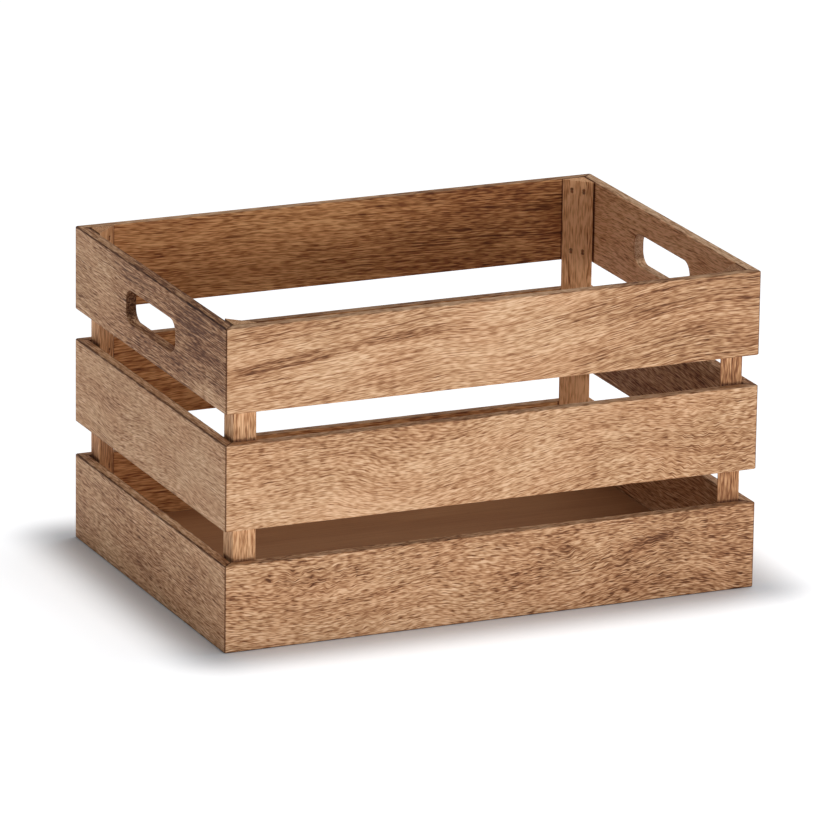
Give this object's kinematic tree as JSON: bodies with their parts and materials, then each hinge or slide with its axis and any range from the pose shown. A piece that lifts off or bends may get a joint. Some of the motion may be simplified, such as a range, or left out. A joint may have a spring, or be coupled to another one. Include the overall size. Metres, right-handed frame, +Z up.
{
  "type": "wooden apple crate",
  "caption": "Open-topped slatted wooden crate with mitred corners, triangular corner posts, a flat base panel and a hand-hold slot in each end.",
  "frame": {"origin": "on the table, under the middle of the crate, in the plane of its bottom rim", "axes": "+X along the long side, +Y to the back, +Z up; the front faces -Y and the hand-holds are in the +X and -X ends"},
  "size_m": [0.35, 0.245, 0.201],
  "materials": {
    "slat_wood": "matt brown-stained open-pored hardwood",
    "post_wood": "matt brown-stained hardwood, grain upright",
    "panel_wood": "smooth brown-stained panel with hardly any grain",
    "brad_steel": "plain wire, dulled"
  },
  "bodies": {
    "root": {"front_slat_bottom": "slat_wood", "front_slat_middle": "slat_wood", "front_slat_top": "slat_wood", "back_slat_bottom": "slat_wood", "back_slat_middle": "slat_wood", "back_slat_top": "slat_wood", "left_slat_bottom": "slat_wood", "left_slat_middle": "slat_wood", "left_slat_top": "slat_wood", "right_slat_bottom": "slat_wood", "right_slat_middle": "slat_wood", "right_slat_top": "slat_wood", "corner_post_front_left": "post_wood", "corner_post_front_right": "post_wood", "corner_post_back_left": "post_wood", "corner_post_back_right": "post_wood", "base_panel": "panel_wood", "post_brads_front_left": "brad_steel", "post_brads_front_right": "brad_steel", "post_brads_back_left": "brad_steel", "post_brads_back_right": "brad_steel", "base_brads": "brad_steel"}
  },
  "joints": []
}
